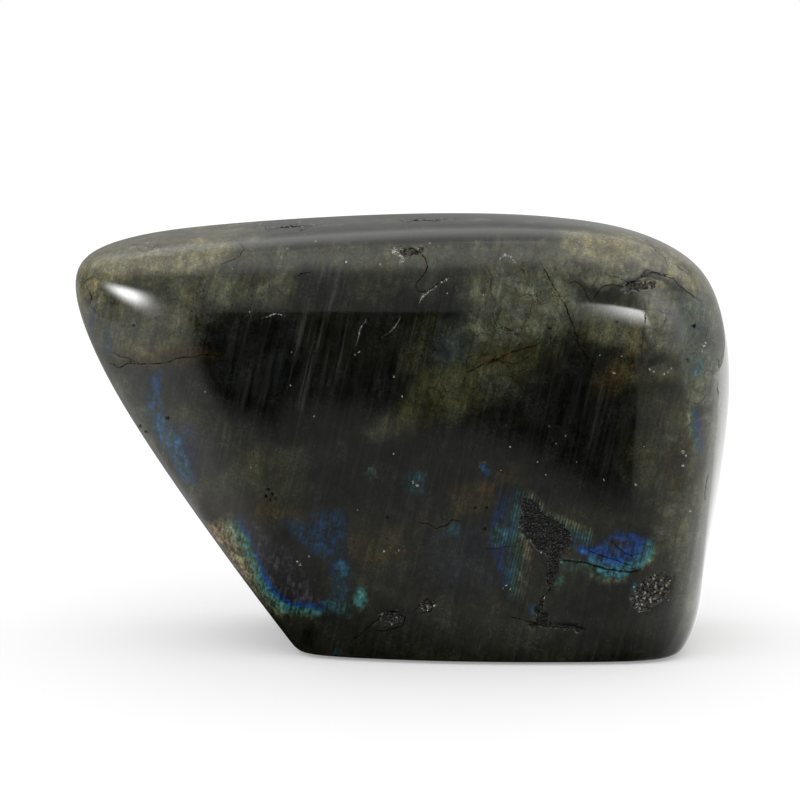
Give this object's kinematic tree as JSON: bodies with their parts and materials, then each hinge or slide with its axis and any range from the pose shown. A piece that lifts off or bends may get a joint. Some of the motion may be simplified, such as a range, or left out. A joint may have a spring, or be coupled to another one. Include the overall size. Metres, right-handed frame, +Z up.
{
  "type": "polished labradorite freeform",
  "caption": "Heavy stone of dark labradorite, ground to a rounded leaning freeform and polished, with a flat sawn base to stand on and small patches of blue sheen.",
  "frame": {"origin": "on the plane of the flat base, under the middle of the stone's bounding box", "axes": "+X along the stone's length, away from its overhanging nose; -Y out of the better face; +Z up from the base"},
  "size_m": [0.179, 0.0702, 0.1181],
  "materials": {
    "labradorite": "polished"
  },
  "bodies": {
    "root": {"stone": "labradorite"}
  },
  "joints": []
}
